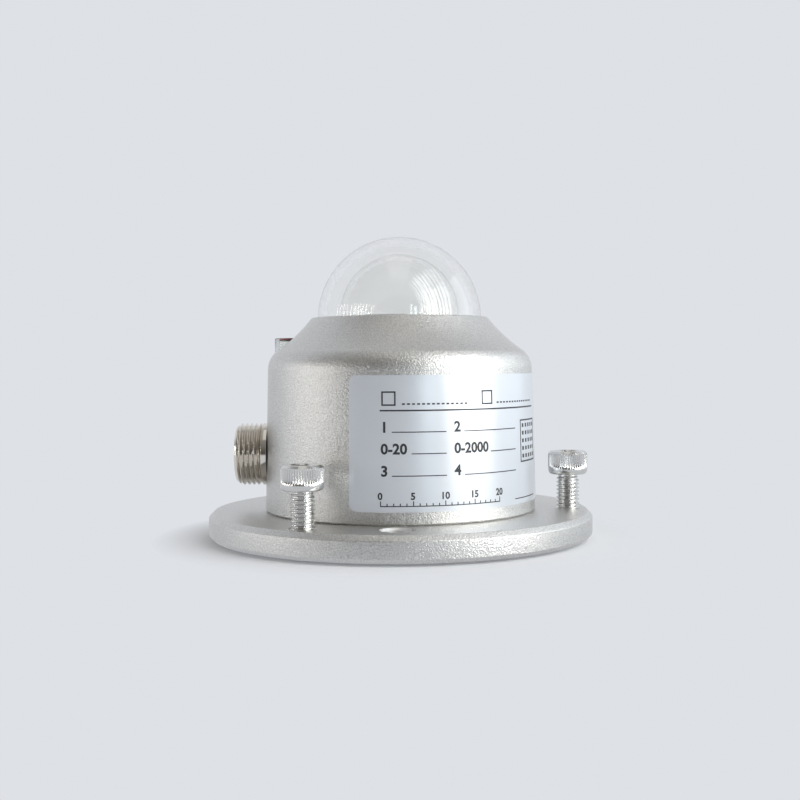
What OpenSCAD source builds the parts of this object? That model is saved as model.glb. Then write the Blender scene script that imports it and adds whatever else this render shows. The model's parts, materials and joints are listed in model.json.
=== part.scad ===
// Pyranometer: a thermopile under two glass domes, in a turned aluminium casing on a round
// flange with three levelling screws. The origin is on the axis of the domes, in the plane of
// the tips of the levelling screws. +Z is up, the front is -Y, and angles run from -Y to +X.

/* [Stance] */
// Height of the flange above the tips of the levelling screws
foot_drop = 0.6; // [0.2:0.1:2]

/* [Flange] */
// Width of the flange beyond the casing
rim_w = 14.7; // [12.5:0.1:30]
// Thickness of the flange
flange_t = 6.5; // [6:0.5:7]
// Chamfer on the upper edge of the flange
flange_top_chamfer = 1.3; // [0.4:0.1:1.4]
// Chamfer on the lower edge of the flange
flange_foot_chamfer = 1; // [0.4:0.1:2]
// Distance from the casing to the centre of a mounting hole
mount_offset = 5.7; // [4.5:0.1:7]
// Diameter of a mounting hole
mount_hole_d = 7; // [4.5:0.5:7.5]
// Distance from the edge of the flange to the centre of a levelling screw
level_inset = 6; // [4.8:0.1:7.5]
// Height of the spigot that centres the casing
spigot_h = 3; // [2.5:0.1:3.4]

/* [Levelling screws] */
// Thread diameter of a levelling screw
screw_d = 6; // [5:0.5:6.5]
// Thread pitch of a levelling screw
screw_pitch = 1; // [0.8:0.05:1.2]
// Thread depth of a levelling screw
screw_thread_depth = 0.55; // [0.3:0.05:0.7]
// Length of a levelling screw under its head
screw_l = 16; // [15:1:30]
// Diameter of the head
head_d = 10.2; // [9:0.2:11]
// Height of the head
head_h = 6; // [5:0.5:8]
// Width of the hexagon socket across its flats
socket_af = 5; // [3:0.5:5.5]
// Depth of the hexagon socket
socket_depth = 3; // [2:0.5:4]

/* [Casing] */
// Width of the flare and the shoulder beyond the flat top
cap_w = 11.5; // [10:0.1:14]
// Radius that the casing loses from its foot to the shoulder
casing_draft = 0.8; // [0:0.1:1.5]
// Height of the casing
casing_h = 50.1; // [44:0.1:80]
// Height of the flare and the shoulder
cap_h = 13.5; // [12:0.1:16]
// Radius of the shoulder
shoulder_fillet = 5.5; // [5:0.1:6]
// Radius of the hollow flare above the shoulder
flare_r = 42; // [30:1:80]
// Width of the flat top beyond the outer dome
top_rim = 1.6; // [1:0.1:3]
// Thickness of the side wall
wall = 3.5; // [3:0.1:4]
// Depth of the ceiling inside the casing below the shoulder
ceiling_drop = 1.1; // [0:0.1:3]
// Chamfer at the foot of the casing
casing_foot_chamfer = 0.5; // [0.2:0.1:1]

/* [Domes] */
// Space between the two domes
dome_gap = 3.5; // [3:0.1:6]
// Wall of the outer dome
outer_dome_wall = 2.4; // [1.8:0.1:2.6]
// Depth of the outer dome in its groove
outer_dome_skirt = 2.8; // [2:0.1:3.5]
// Depth of the centre of the outer dome below the flat top
outer_dome_sink = 0.3; // [0:0.1:1]
// Diameter of the inner dome
inner_dome_d = 31; // [28:0.2:40]
// Wall of the inner dome
inner_dome_wall = 1.5; // [1:0.1:1.8]
// Height of the centre of the inner dome above the flat top
inner_dome_lift = 1.1; // [0.4:0.1:1.4]
// Length of the inner dome below its centre
inner_dome_skirt = 2; // [1.6:0.1:2.4]
// Thickness of the bedding ring under the outer dome
outer_gasket_t = 0.8; // [0.4:0.1:1.2]
// Thickness of the bedding ring under the inner dome
inner_gasket_t = 0.5; // [0.3:0.1:0.8]

/* [Sensor] */
// Depth of the holder's disc in the casing
holder_depth = 6; // [5.5:0.1:6.5]
// Height of the holder's disc above the flat top
holder_lift = 0.2; // [0:0.1:0.4]
// Metal left between the holder's lower plug and its screws
plug_wall = 1.35; // [1:0.05:3]
// Length of the holder's lower plug
holder_plug_l = 6; // [3:0.5:6]
// Width of the lip between the holder and the outer dome
dome_lip = 1.2; // [0.8:0.1:1.4]
// Diameter of the thermopile
thermopile_d = 15; // [12:0.5:18]
// Height of the thermopile
thermopile_h = 1.6; // [1:0.1:2]
// Diameter of the black receiver
receiver_d = 12; // [8:0.5:12]
// Thickness of the black receiver
receiver_t = 0.3; // [0.2:0.05:0.5]
// Thickness of the white mask round the receiver
mask_t = 0.3; // [0.2:0.05:0.5]

/* [Connector] */
// Height of the connector's nut above the spigot
connector_rise = 2; // [1:0.1:6]
// Diameter of the connector's thread
connector_d = 16.2; // [14:0.2:19]
// Pitch of the connector's thread
connector_pitch = 1.25; // [1:0.05:1.5]
// Depth of the connector's thread
connector_thread_depth = 0.7; // [0.4:0.1:0.8]
// Distance from the casing to the rim of the connector
connector_reach = 7.9; // [7.5:0.1:12]
// Length of the plain collar next to the casing
collar_l = 1.5; // [1:0.1:2]
// Step from the collar to the barrel behind it
collar_step = 1.1; // [0.8:0.1:1.6]
// Wall of the barrel behind the collar
barrel_wall = 1.35; // [1:0.05:1.8]
// Wall of the mouth under the thread
mouth_wall = 1.2; // [0.8:0.1:1.4]
// Depth of the mouth
mouth_depth = 6.5; // [5:0.1:7]
// Diameter of a pin
pin_d = 1.5; // [1:0.1:2]
// Distance from the edge of the insulator to the centre of a pin
pin_inset = 2; // [1.4:0.1:2.4]
// Thickness of the seal behind the collar
connector_seal_t = 0.8; // [0.4:0.1:1]

/* [Bubble level] */
// Diameter of the bubble level
level_d = 10; // [8:0.2:10.4]
// Height of the bubble level
level_h = 5.5; // [5:0.1:7]
// Wall of the bubble level
level_wall = 1; // [0.6:0.1:1.4]
// Floor of the bubble level
level_floor = 1.6; // [1:0.1:2]
// Metal left outside the bubble level
level_edge = 0.6; // [0.3:0.1:1]
// Height of the level's seat above the start of the shoulder
level_seat_h = 2.9; // [2.7:0.1:3.2]
// Direction of the level
level_angle = -100; // [-115:1:-95]

/* [Label] */
// Direction of the label's left edge
label_from = -19; // [-40:1:0]
// Direction of the label's right edge
label_to = 101; // [60:1:110]
// Height of the label's lower edge above the flange
label_foot_h = 3.3; // [1:0.1:6]
// Distance from the label's upper edge to the shoulder
label_head_gap = 1.1; // [0.5:0.1:16]
// Thickness of the label
label_t = 0.15; // [0.1:0.05:0.3]

/* [Board] */
// Space between the board and the bosses of the casing
board_gap = 0.9; // [0.5:0.1:4]
// Thickness of the circuit board
board_t = 1.6; // [1:0.1:2]
// Height of the board's spacers
spacer_h = 5; // [4:0.5:8]
// Diameter of the desiccant capsule
capsule_d = 9; // [6:0.5:12]
// Height of the desiccant capsule
capsule_h = 12; // [8:0.5:16]

/* [Hidden] */

$fn = 72;

// Length by which every cut runs past the surface that it opens
overrun = 1;
// Clearance all round a screw in its tapped hole
thread_gap = 0.05;
// Clearance all round a piece that slips into a turned seat
seat_gap = 0.05;
// Clearance all round glass in its groove
glass_gap = 0.15;

// Directions of the levelling screws, also those of the casing screws
screw_angles = [-30, 90, 210];
// Directions of the mounting holes
mount_angles = [0, 180];
// Directions of the holder's screws
holder_angles = [30, 150, 270];
// Directions of the pins round the connector's axis
pin_angles = [0, 90, 180, 270];

// Heights
flange_top = foot_drop + flange_t;
spigot_top = flange_top + spigot_h;
shoulder_h = casing_h - cap_h;
cavity_h = shoulder_h - ceiling_drop;
ceiling_z = flange_top + cavity_h;
casing_top = flange_top + casing_h;
nut_wall = 2;
nut_t = 3;
nut_margin = 0.5;
barrel_d = connector_d - 2 * collar_step;
nut_af = barrel_d + 2 * nut_wall;
connector_h = spigot_h + connector_rise + nut_margin + nut_af / 2;
connector_z = flange_top + connector_h;

// Levelling screw: bevels, and the share of a pitch that is flat at a crest or a root
head_bevel = 0.5;
tip_bevel = 0.6;
flat_share = 0.15;

// Radii from the inner dome outwards, and the outline of the casing
inner_r = inner_dome_d / 2;
outer_inner_r = inner_r + dome_gap;
outer_r = outer_inner_r + outer_dome_wall;
top_r = outer_r + top_rim;
shoulder_r = top_r + cap_w;
casing_r = shoulder_r + casing_draft;
cavity_r = casing_r - wall;
flange_r = casing_r + rim_w;
mount_pos = casing_r + mount_offset;
screw_pos = flange_r - level_inset;
shoulder_turn = 48;
arc_steps = 8;
dome_steps = 20;

// Casing screws: cap screws from below, in bosses inside the casing
casing_screw_d = 4;
casing_head_d = 7;
casing_head_h = 4;
casing_head_sink = 0.3;
casing_screw_z = foot_drop + casing_head_sink + casing_head_h;
casing_screw_grip = 8.8;
casing_screw_l = spigot_top + casing_screw_grip - casing_screw_z;
boss_r = 4.5;
boss_hole_l = 12;
boss_web = 5;
boss_inset = 4.9;
boss_pos = cavity_r - boss_inset;
joint_gap = 0.1;

// O-ring between spigot and casing
seal_d = 1.5;
seal_groove_depth = 1.45;
spigot_r = cavity_r - 2 * seat_gap;
seal_groove_r = spigot_r - seal_groove_depth;
seal_z = flange_top + spigot_h / 2;

// Outer dome and its groove
outer_centre_z = casing_top - outer_dome_sink;
outer_foot_z = casing_top - outer_dome_skirt;
outer_groove_z = outer_foot_z - outer_gasket_t;

// Sensor holder
holder_seat_r = outer_inner_r - glass_gap - dome_lip;
holder_r = holder_seat_r - seat_gap;
holder_top = casing_top + holder_lift;
holder_foot = casing_top - holder_depth;
holder_bore_r = 2;
holder_screw_d = 3;
holder_head_d = 5.5;
holder_head_h = 3;

// Inner dome and its groove in the holder
inner_inner_r = inner_r - inner_dome_wall;
inner_centre_z = casing_top + inner_dome_lift;
inner_foot_z = inner_centre_z - inner_dome_skirt;
inner_groove_z = inner_foot_z - inner_gasket_t;
holder_screw_pos = inner_r - inner_dome_wall / 2;
holder_hole_cover = 0.8;
holder_hole_top = inner_groove_z - holder_hole_cover;
holder_tip_gap = 0.4;
holder_screw_l = holder_hole_top - holder_tip_gap - ceiling_z;
holder_plug_r = holder_screw_pos - holder_screw_d / 2 - plug_wall;

// Thermopile and receiver
receiver_top = holder_top;
thermopile_z = receiver_top - receiver_t - thermopile_h;
mask_gap = 0.4;
mask_r = inner_inner_r - mask_gap;

// Connector: it lies along -X
spot_margin = 0.6;
spot_r = connector_d / 2 + spot_margin;
panel_t = 4.5;
spot_x = sqrt(pow(wall_r(connector_h + spot_r), 2) - pow(spot_r, 2));
panel_x = spot_x - panel_t;
collar_x = spot_x + connector_seal_t;
rim_x = wall_r(connector_h) + connector_reach;
barrel_tail = 4.5;
barrel_end_x = panel_x - barrel_tail;
insulator_x = rim_x - mouth_depth;
insulator_d = barrel_d - 2 * (barrel_wall + seat_gap);
mouth_d = connector_d - 2 * (connector_thread_depth + mouth_wall);
pin_circle_d = insulator_d - 2 * pin_inset;
pin_reach = 5.5;
pin_tail = 2.5;
rim_bevel = 0.8;

// Bubble level
level_pos = shoulder_r - level_edge - level_d / 2;
level_z = flange_top + shoulder_h + level_seat_h;
level_ring_t = 0.6;
level_ring_w = 0.8;
level_lens_t = 0.9;

// Board: a disc between the bosses, on four spacers
board_r = boss_pos - boss_r - board_gap;
spacer_angles = [45, 135, 225, 315];
spacer_d = 5;
spacer_inset = 3.5;
spacer_pos = board_r - spacer_inset;
spacer_screw_d = 2.5;
spacer_head_d = 4.5;
spacer_head_h = 1.8;
spacer_thread_l = 2.4;
board_z = spigot_top + spacer_h;
board_top = board_z + board_t;
terminal_inset = 5;
terminal_x = -board_r + terminal_inset;
terminal_l = 7;
terminal_w = 16;
terminal_h = 8;
terminal_hole_h = 5;
terminal_pitch = 3.5;
terminal_screw_d = 2.4;
terminal_screw_sink = 0.6;
lead_hole_d = 1.6;
lead_d = 0.9;
lead_depth = 2;
lead_cup_l = 1;
lead_bite = 0.5;
ferrule_d = 1.4;
ferrule_reach = 1.2;
header_l = 5;
header_w = 2.6;
header_h = 2.4;
lead_pitch = 2.5;
sensor_lead_d = 0.8;
chip_l = 5;
chip_w = 4;
chip_t = 1.5;
can_d = 6;
can_h = 8;
capsule_bevel = 1;
chip_places_share = [[0.05, -0.38], [0.05, 0.38]];
can_places_share = [[0.25, -0.72], [0.25, 0.72]];
capsule_share = 0.5;

function wall_r(h) = casing_r - casing_draft * h / shoulder_h;

// Points along an arc round c, from angle a to angle b
function arc(c, r, a, b, n) = [for (i = [0:n]) let (t = a + (b - a) * i / n) c + r * [cos(t), sin(t)]];

// Centre of the arc of radius r from p to q that bulges to the left of the way from p to q
function arc_centre(p, q, r) =
    let (d = q - p, l = norm(d), side = [d[1], -d[0]] / l)
    (p + q) / 2 + side * sqrt(r * r - l * l / 4);

// Crests and roots of a thread drawn as rings, from height z up
function rings(r, depth, pitch, z, n) = [for (i = [0:n - 1])
    each [[r - depth, z + pitch * (i + flat_share / 2)],
        [r, z + pitch * (i + 1 / 2 - flat_share / 2)],
        [r, z + pitch * (i + 1 / 2 + flat_share / 2)],
        [r - depth, z + pitch * (i + 1 - flat_share / 2)]]];

// Moves children to a direction and a distance from the axis
module at(angle, r) rotate([0, 0, angle - 90]) translate([r, 0, 0]) children();

module along_minus_x(x, z) translate([-x, 0, z]) rotate([0, 90, 0]) children();

module tube(r_out, r_in, h) difference() {
    cylinder(r = r_out, h = h);
    translate([0, 0, -overrun]) cylinder(r = r_in, h = h + 2 * overrun);
}

// A cap screw that points down, its head's underside at z = 0
module cap_screw(d, l, hd, hh, socket) difference() {
    union() {
        translate([0, 0, -l]) cylinder(d = d, h = l + hh / 2);
        cylinder(d = hd, h = hh);
    }
    translate([0, 0, hh / 2]) cylinder(d = socket, h = hh, $fn = 6);
}

// A rod from p to q
module rod(p, q, d) {
    v = q - p;
    translate(p) rotate([0, acos(v[2] / norm(v)), atan2(v[1], v[0])]) cylinder(d = d, h = norm(v));
}

// A lead from a pin's end at p to the bottom of a terminal's hole at q, with a sleeve at each end
module lead(p, q) {
    cup_end = p + [lead_cup_l, 0, 0];
    ferrule_end = q - [lead_depth + ferrule_reach, 0, 0];
    rod(p, cup_end, pin_d);
    rod(ferrule_end, q, ferrule_d);
    rod(cup_end - [lead_bite, 0, 0], ferrule_end + [lead_bite, 0, 0], lead_d);
}

// A glass dome on a straight skirt, its centre at z = 0
module dome(r, r_in, skirt) rotate_extrude() polygon(concat(
    [[r_in, -skirt], [r, -skirt]],
    arc([0, 0], r, 0, 90, dome_steps),
    arc([0, 0], r_in, 90, 0, dome_steps)));

module flange() color("#c8c8c5") difference() {
    rotate_extrude() polygon([
        [0, foot_drop], [flange_r - flange_foot_chamfer, foot_drop],
        [flange_r, foot_drop + flange_foot_chamfer], [flange_r, flange_top - flange_top_chamfer],
        [flange_r - flange_top_chamfer, flange_top], [spigot_r, flange_top],
        [spigot_r, seal_z - seal_d / 2], [seal_groove_r, seal_z - seal_d / 2],
        [seal_groove_r, seal_z + seal_d / 2], [spigot_r, seal_z + seal_d / 2],
        [spigot_r, spigot_top], [0, spigot_top]]);
    for (a = mount_angles) at(a, mount_pos)
        translate([0, 0, foot_drop - overrun]) cylinder(d = mount_hole_d, h = flange_t + 2 * overrun);
    for (a = screw_angles) {
        at(a, screw_pos) translate([0, 0, foot_drop - overrun])
            cylinder(d = screw_d + 2 * thread_gap, h = flange_t + 2 * overrun);
        at(a, boss_pos) translate([0, 0, foot_drop - overrun]) {
            cylinder(d = casing_screw_d + 2 * thread_gap, h = spigot_top - foot_drop + 2 * overrun);
            cylinder(d = casing_head_d + 4 * thread_gap, h = casing_head_h + casing_head_sink + overrun);
        }
    }
    for (a = spacer_angles) at(a, spacer_pos) translate([0, 0, spigot_top - spacer_thread_l])
        cylinder(d = spacer_screw_d + 2 * thread_gap, h = spacer_thread_l + overrun);
}

// Outline of the casing from its foot to its flat top, as [radius, height above the flange]
function casing_outline() =
    let (centre = [shoulder_r - shoulder_fillet, shoulder_h],
        crease = centre + shoulder_fillet * [cos(shoulder_turn), sin(shoulder_turn)],
        edge = [top_r, casing_h],
        flare = arc_centre(crease, edge, flare_r),
        from = atan2(crease[1] - flare[1], crease[0] - flare[0]),
        to = atan2(edge[1] - flare[1], edge[0] - flare[0]))
    concat([[casing_r - casing_foot_chamfer, 0], [casing_r, casing_foot_chamfer]],
        arc(centre, shoulder_fillet, 0, shoulder_turn, arc_steps),
        arc(flare, flare_r, from + (to - from) / arc_steps, to, arc_steps - 1));

module casing_cavity() difference() {
    translate([0, 0, flange_top - overrun]) cylinder(r = cavity_r, h = cavity_h + overrun);
    for (a = screw_angles) at(a, boss_pos) difference() {
        translate([0, 0, spigot_top + joint_gap]) {
            cylinder(r = boss_r, h = cavity_h);
            translate([0, -boss_web / 2, 0]) cube([boss_inset + overrun, boss_web, cavity_h]);
        }
        translate([0, 0, spigot_top]) cylinder(d = casing_screw_d + 2 * thread_gap, h = boss_hole_l);
    }
    translate([-panel_x - wall - overrun, -cavity_r, connector_z - nut_af / 2 - nut_margin])
        cube([wall + overrun, 2 * cavity_r, nut_af + 2 * nut_margin]);
}

module casing() color("#cfcfcc") difference() {
    translate([0, 0, flange_top]) rotate_extrude()
        polygon(concat([[0, 0]], casing_outline(), [[0, casing_h]]));
    casing_cavity();
    translate([0, 0, ceiling_z - overrun])
        cylinder(r = holder_plug_r + seat_gap, h = holder_foot - ceiling_z + 2 * overrun);
    translate([0, 0, holder_foot]) cylinder(r = holder_seat_r, h = holder_depth + overrun);
    translate([0, 0, outer_groove_z])
        tube(outer_r + glass_gap, outer_inner_r - glass_gap, casing_top - outer_groove_z + overrun);
    for (a = holder_angles) at(a, holder_screw_pos) translate([0, 0, ceiling_z - overrun])
        cylinder(d = holder_screw_d + 4 * thread_gap, h = holder_foot - ceiling_z + 2 * overrun);
    along_minus_x(rim_x, connector_z) {
        cylinder(d = barrel_d + 2 * seat_gap, h = rim_x - panel_x + overrun);
        cylinder(r = spot_r, h = rim_x - spot_x);
    }
    at(level_angle, level_pos) translate([0, 0, level_z])
        cylinder(d = level_d + 2 * seat_gap, h = casing_h);
}

module casing_seal() color("#1c1c1c") translate([0, 0, seal_z]) rotate_extrude()
    translate([spigot_r + 2 * seat_gap - seal_d / 2 - seat_gap / 2, 0]) circle(d = seal_d - seat_gap);

module casing_screws() color("#b9bcc0") for (a = screw_angles) at(a, boss_pos)
    translate([0, 0, casing_screw_z]) mirror([0, 0, 1])
        cap_screw(casing_screw_d, casing_screw_l, casing_head_d, casing_head_h, casing_screw_d * 0.8);

module outer_dome() color("#dfe6e2", 0.35)
    translate([0, 0, outer_centre_z]) dome(outer_r, outer_inner_r, outer_centre_z - outer_foot_z);

module outer_dome_gasket() color("#e8e8e4")
    translate([0, 0, outer_groove_z]) tube(outer_r, outer_inner_r, outer_gasket_t);

module inner_dome() color("#dfe6e2", 0.35)
    translate([0, 0, inner_centre_z]) dome(inner_r, inner_inner_r, inner_dome_skirt);

module inner_dome_gasket() color("#e8e8e4")
    translate([0, 0, inner_groove_z]) tube(inner_r, inner_inner_r, inner_gasket_t);

module sensor_holder() color("#b9b6ae") difference() {
    union() {
        translate([0, 0, holder_foot]) cylinder(r = holder_r, h = holder_top - holder_foot);
        translate([0, 0, holder_foot - holder_plug_l])
            cylinder(r = holder_plug_r, h = holder_plug_l + overrun);
    }
    translate([0, 0, inner_groove_z]) tube(inner_r + seat_gap, inner_inner_r - seat_gap, casing_h);
    translate([0, 0, thermopile_z]) cylinder(d = thermopile_d + 2 * seat_gap, h = casing_h);
    translate([0, 0, holder_foot - holder_plug_l - overrun]) cylinder(r = holder_bore_r, h = casing_h);
    for (a = holder_angles) at(a, holder_screw_pos) translate([0, 0, holder_foot - overrun])
        cylinder(d = holder_screw_d + 2 * thread_gap, h = holder_hole_top - holder_foot + overrun);
}

module holder_screws() color("#b9bcc0") for (a = holder_angles) at(a, holder_screw_pos)
    translate([0, 0, ceiling_z]) mirror([0, 0, 1])
        cap_screw(holder_screw_d, holder_screw_l, holder_head_d, holder_head_h, holder_screw_d * 0.8);

module thermopile() color("#b0733f") translate([0, 0, thermopile_z]) difference() {
    cylinder(d = thermopile_d, h = thermopile_h);
    translate([0, 0, -overrun]) for (side = [-1, 1]) translate([side * lead_pitch / 2, 0, 0])
        cylinder(d = sensor_lead_d + 2 * thread_gap, h = overrun + thermopile_h / 2);
}

module black_receiver() color("#0c0c0c")
    translate([0, 0, thermopile_z + thermopile_h]) cylinder(d = receiver_d, h = receiver_t);

module sensor_mask() color("#f2f2ee")
    translate([0, 0, holder_top]) tube(mask_r, receiver_d / 2 + mask_gap, mask_t);

module sensor_wires() for (side = [-1, 1]) color(side < 0 ? "#20508c" : "#a02020")
    translate([side * lead_pitch / 2, 0, board_top + header_h])
        cylinder(d = sensor_lead_d, h = thermopile_z + thermopile_h / 2 - board_top - header_h);

module circuit_board() color("#1f6b3a") difference() {
    translate([0, 0, board_z]) cylinder(r = board_r, h = board_t);
    for (a = spacer_angles) at(a, spacer_pos) translate([0, 0, board_z - overrun])
        cylinder(d = spacer_screw_d + 4 * thread_gap, h = board_t + 2 * overrun);
}

module board_spacers() color("#c9a24a") for (a = spacer_angles) at(a, spacer_pos)
    translate([0, 0, spigot_top]) difference() {
        cylinder(d = spacer_d / cos(30), h = spacer_h, $fn = 6);
        translate([0, 0, -overrun])
            cylinder(d = spacer_screw_d + 4 * thread_gap, h = spacer_h + 2 * overrun);
    }

module board_screws() color("#b9bcc0") for (a = spacer_angles) at(a, spacer_pos)
    translate([0, 0, board_top]) cap_screw(spacer_screw_d, board_t + spacer_h + spacer_thread_l - joint_gap,
        spacer_head_d, spacer_head_h, spacer_screw_d * 0.6);

module board_parts() {
    color("#202020") for (p = chip_places_share)
        translate([p[0] * board_r - chip_l / 2, p[1] * board_r - chip_w / 2, board_top])
            cube([chip_l, chip_w, chip_t]);
    color("#33475f") for (p = can_places_share)
        translate([p[0] * board_r, p[1] * board_r, board_top]) cylinder(d = can_d, h = can_h);
}

module sensor_header() color("#e9e4d4") translate([-header_l / 2, -header_w / 2, board_top])
    cube([header_l, header_w, header_h]);

module terminal_block() color("#2f8f4e") difference() {
    translate([terminal_x, -terminal_w / 2, board_top]) cube([terminal_l, terminal_w, terminal_h]);
    for (i = [-3 / 2, -1 / 2, 1 / 2, 3 / 2]) {
        translate([terminal_x + terminal_l / 2, i * terminal_pitch,
            board_top + terminal_h - terminal_screw_sink])
            cylinder(d = terminal_screw_d, h = terminal_screw_sink + overrun);
        translate([terminal_x - overrun, i * terminal_pitch, board_top + terminal_hole_h])
            rotate([0, 90, 0]) cylinder(d = lead_hole_d, h = lead_depth + overrun);
    }
}

module desiccant_capsule() color("#e6ecf0") translate([capsule_share * board_r, 0, board_top])
    rotate_extrude() polygon([
        [0, 0], [capsule_d / 2, 0], [capsule_d / 2, capsule_h - capsule_bevel],
        [capsule_d / 2 - capsule_bevel, capsule_h], [0, capsule_h]]);

// Outline of the barrel as [radius, distance from the rim]
module connector_shell() color("#bdb6a8") along_minus_x(rim_x, connector_z) {
    thread_from = rim_bevel + connector_pitch / 2;
    turns = floor((rim_x - collar_x - collar_l - thread_from) / connector_pitch);
    rotate_extrude() polygon(concat(
        [[mouth_d / 2, 0], [connector_d / 2 - rim_bevel, 0], [connector_d / 2 - flat_share, rim_bevel],
            [connector_d / 2 - flat_share, thread_from]],
        rings(connector_d / 2, connector_thread_depth, connector_pitch, thread_from, turns),
        [[connector_d / 2 - connector_thread_depth, rim_x - collar_x - collar_l],
            [connector_d / 2, rim_x - collar_x - collar_l], [connector_d / 2, rim_x - collar_x],
            [barrel_d / 2, rim_x - collar_x], [barrel_d / 2, rim_x - barrel_end_x],
            [insulator_d / 2 + seat_gap, rim_x - barrel_end_x], [insulator_d / 2 + seat_gap, mouth_depth],
            [mouth_d / 2, mouth_depth]]));
}

module connector_seal() color("#141414") along_minus_x(collar_x, connector_z)
    tube(connector_d / 2, barrel_d / 2 + seat_gap, connector_seal_t);

module connector_insulator() color("#2a1f1a") along_minus_x(insulator_x, connector_z) difference() {
    cylinder(d = insulator_d, h = insulator_x - barrel_end_x);
    for (a = pin_angles) rotate([0, 0, a]) translate([pin_circle_d / 2, 0, -overrun])
        cylinder(d = pin_d + 2 * thread_gap, h = insulator_x - barrel_end_x + 2 * overrun);
}

module connector_pins() color("#d8b768") along_minus_x(insulator_x + pin_reach, connector_z)
    for (a = pin_angles) rotate([0, 0, a]) translate([pin_circle_d / 2, 0, 0])
        cylinder(d = pin_d, h = pin_reach + insulator_x - barrel_end_x + pin_tail);

module connector_nut() color("#bdb6a8") along_minus_x(panel_x, connector_z) difference() {
    rotate([0, 0, 30]) cylinder(d = nut_af / cos(30), h = nut_t, $fn = 6);
    translate([0, 0, -overrun]) cylinder(d = barrel_d + 2 * thread_gap, h = nut_t + 2 * overrun);
}

// Each lead goes from a pin's tail to a terminal, in the order that keeps them from crossing
module connector_wires() {
    tail_x = -(barrel_end_x - pin_tail);
    starts = [[0, -1], [-1, 0], [1, 0], [0, 1]];
    colours = ["#8b5a2b", "#1d4f91", "#2f2f2f", "#e8e8e8"];
    for (i = [0:3]) color(colours[i]) lead(
        [tail_x, starts[i][1] * pin_circle_d / 2, connector_z + starts[i][0] * pin_circle_d / 2],
        [terminal_x + lead_depth, (i - 3 / 2) * terminal_pitch, board_top + terminal_hole_h]);
}

module level_body() color("#e4ecec", 0.5) at(level_angle, level_pos) translate([0, 0, level_z])
    difference() {
        cylinder(d = level_d, h = level_h);
        translate([0, 0, level_floor]) cylinder(d = level_d - 2 * level_wall, h = level_h);
    }

module level_liquid() color("#e6d9a0", 0.6) at(level_angle, level_pos)
    translate([0, 0, level_z + level_floor])
        cylinder(d = level_d - 2 * level_wall, h = level_h - level_floor - level_lens_t);

module level_lens() color("#e4ecec", 0.5) at(level_angle, level_pos)
    translate([0, 0, level_z + level_h - level_lens_t]) difference() {
        cylinder(d = level_d - 2 * level_wall, h = level_lens_t);
        translate([0, 0, level_lens_t - level_ring_t])
            tube(level_d / 2, level_d / 2 - level_wall - level_ring_w, level_lens_t);
    }

module level_ring() color("#8c1f1c") at(level_angle, level_pos)
    translate([0, 0, level_z + level_h - level_ring_t])
        tube(level_d / 2 - level_wall, level_d / 2 - level_wall - level_ring_w, level_ring_t);

module label() color("#dfe4ea") translate([0, 0, flange_top]) rotate([0, 0, label_from - 90]) {
    head_h = shoulder_h - label_head_gap;
    rotate_extrude(angle = label_to - label_from) polygon([
        [wall_r(label_foot_h) + seat_gap, label_foot_h],
        [wall_r(label_foot_h) + seat_gap + label_t, label_foot_h],
        [wall_r(head_h) + seat_gap + label_t, head_h],
        [wall_r(head_h) + seat_gap, head_h]]);
}

module level_screw(angle) color("#c4c6c8") at(angle, screw_pos) difference() {
    turns = floor((screw_l - tip_bevel) / screw_pitch);
    rotate_extrude() polygon(concat(
        [[0, 0], [screw_d / 2 - tip_bevel, 0]],
        rings(screw_d / 2, screw_thread_depth, screw_pitch, tip_bevel, turns),
        [[screw_d / 2 - screw_thread_depth, screw_l], [head_d / 2 - head_bevel, screw_l],
            [head_d / 2, screw_l + head_bevel], [head_d / 2, screw_l + head_h - head_bevel],
            [head_d / 2 - head_bevel, screw_l + head_h], [0, screw_l + head_h]]));
    translate([0, 0, screw_l + head_h - socket_depth])
        cylinder(d = socket_af / cos(30), h = socket_depth + overrun, $fn = 6);
}

module level_screw_front() level_screw(screw_angles[0]);
module level_screw_right() level_screw(screw_angles[1]);
module level_screw_rear() level_screw(screw_angles[2]);

flange();
casing();
casing_seal();
casing_screws();
outer_dome();
outer_dome_gasket();
inner_dome();
inner_dome_gasket();
sensor_holder();
holder_screws();
thermopile();
black_receiver();
sensor_mask();
sensor_wires();
circuit_board();
board_spacers();
board_screws();
board_parts();
sensor_header();
terminal_block();
desiccant_capsule();
connector_shell();
connector_seal();
connector_insulator();
connector_pins();
connector_nut();
connector_wires();
level_body();
level_ring();
level_lens();
level_liquid();
label();
level_screw_front();
level_screw_right();
level_screw_rear();
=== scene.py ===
"""Pyranometer: a solar radiation sensor, dressed over the frame of its CAD."""

import json
import logging
import math
from collections.abc import Callable, Iterable, Sequence
from dataclasses import dataclass
from enum import Enum
from functools import cache
from typing import Any

import bmesh
import bpy
from mathutils import Matrix, Vector

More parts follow.
